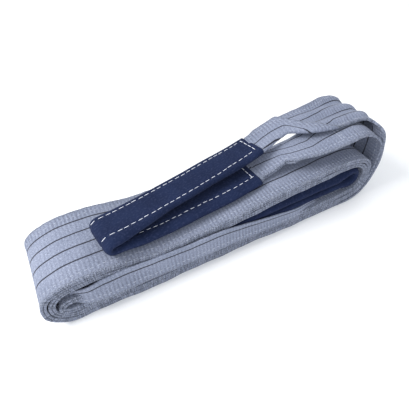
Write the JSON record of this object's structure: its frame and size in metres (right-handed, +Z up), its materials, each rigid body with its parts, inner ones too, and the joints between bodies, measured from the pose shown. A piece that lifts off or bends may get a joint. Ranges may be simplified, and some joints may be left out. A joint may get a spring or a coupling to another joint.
{
  "type": "flat web sling",
  "caption": "Flat two-ply webbing lifting sling with sleeved loop eyes, folded up into a flat bundle with one eye lying on top.",
  "frame": {"origin": "on the surface the bundle lies on, under the middle of the bundle's length and of the webbing's width", "axes": "+X along the bundle towards the open end turn, +Y across the webbing to its far edge, +Z up"},
  "size_m": [0.58, 0.12, 0.1454],
  "materials": {
    "webbing": "woven polyester, matt, with fine ribs and four dark stripes",
    "sleeve": "fine dense weave, matt",
    "lining": "woven polyester, matt",
    "thread": "twisted polyester sewing thread",
    "label": "plain soft plastic"
  },
  "bodies": {
    "bundle": {"outer_ply_wound": "webbing", "inner_ply_wound": "webbing", "outer_ply_turn": "webbing", "inner_ply_turn": "webbing", "eye_2_upper_leg": "webbing", "eye_2_lower_leg": "webbing", "eye_2_web": "webbing", "eye_2_lining": "lining", "eye_2_sleeve": "sleeve", "eye_2_row_far": "thread", "eye_2_row_near": "thread", "eye_2_throat_seam": "thread", "edge_seam_near": "thread", "edge_seam_far": "thread", "marking_tag": "label"},
    "free_end": {"upper_ply_free": "webbing", "lower_ply_free": "webbing", "eye_1_throat_seam": "thread", "eye_1_upper_leg": "webbing", "eye_1_lower_leg": "webbing"},
    "eye_1": {"eye_1_web": "webbing", "eye_1_lining": "lining", "eye_1_sleeve": "sleeve", "eye_1_row_far": "thread", "eye_1_row_near": "thread"}
  },
  "joints": [
    {"name": "free_end_lift", "type": "hinge", "parent": "bundle", "child": "free_end", "pos_m": [0.232, 0, 0.0705], "axis": [0, 1, 0], "range_deg": [0, 75], "deforming": ["outer_ply_turn", "inner_ply_turn"]},
    {"name": "eye_1_lift", "type": "hinge", "parent": "free_end", "child": "eye_1", "pos_m": [0.118, 0, 0.122], "axis": [0, 1, 0], "range_deg": [0, 60], "deforming": ["eye_1_upper_leg", "eye_1_lower_leg"]}
  ]
}
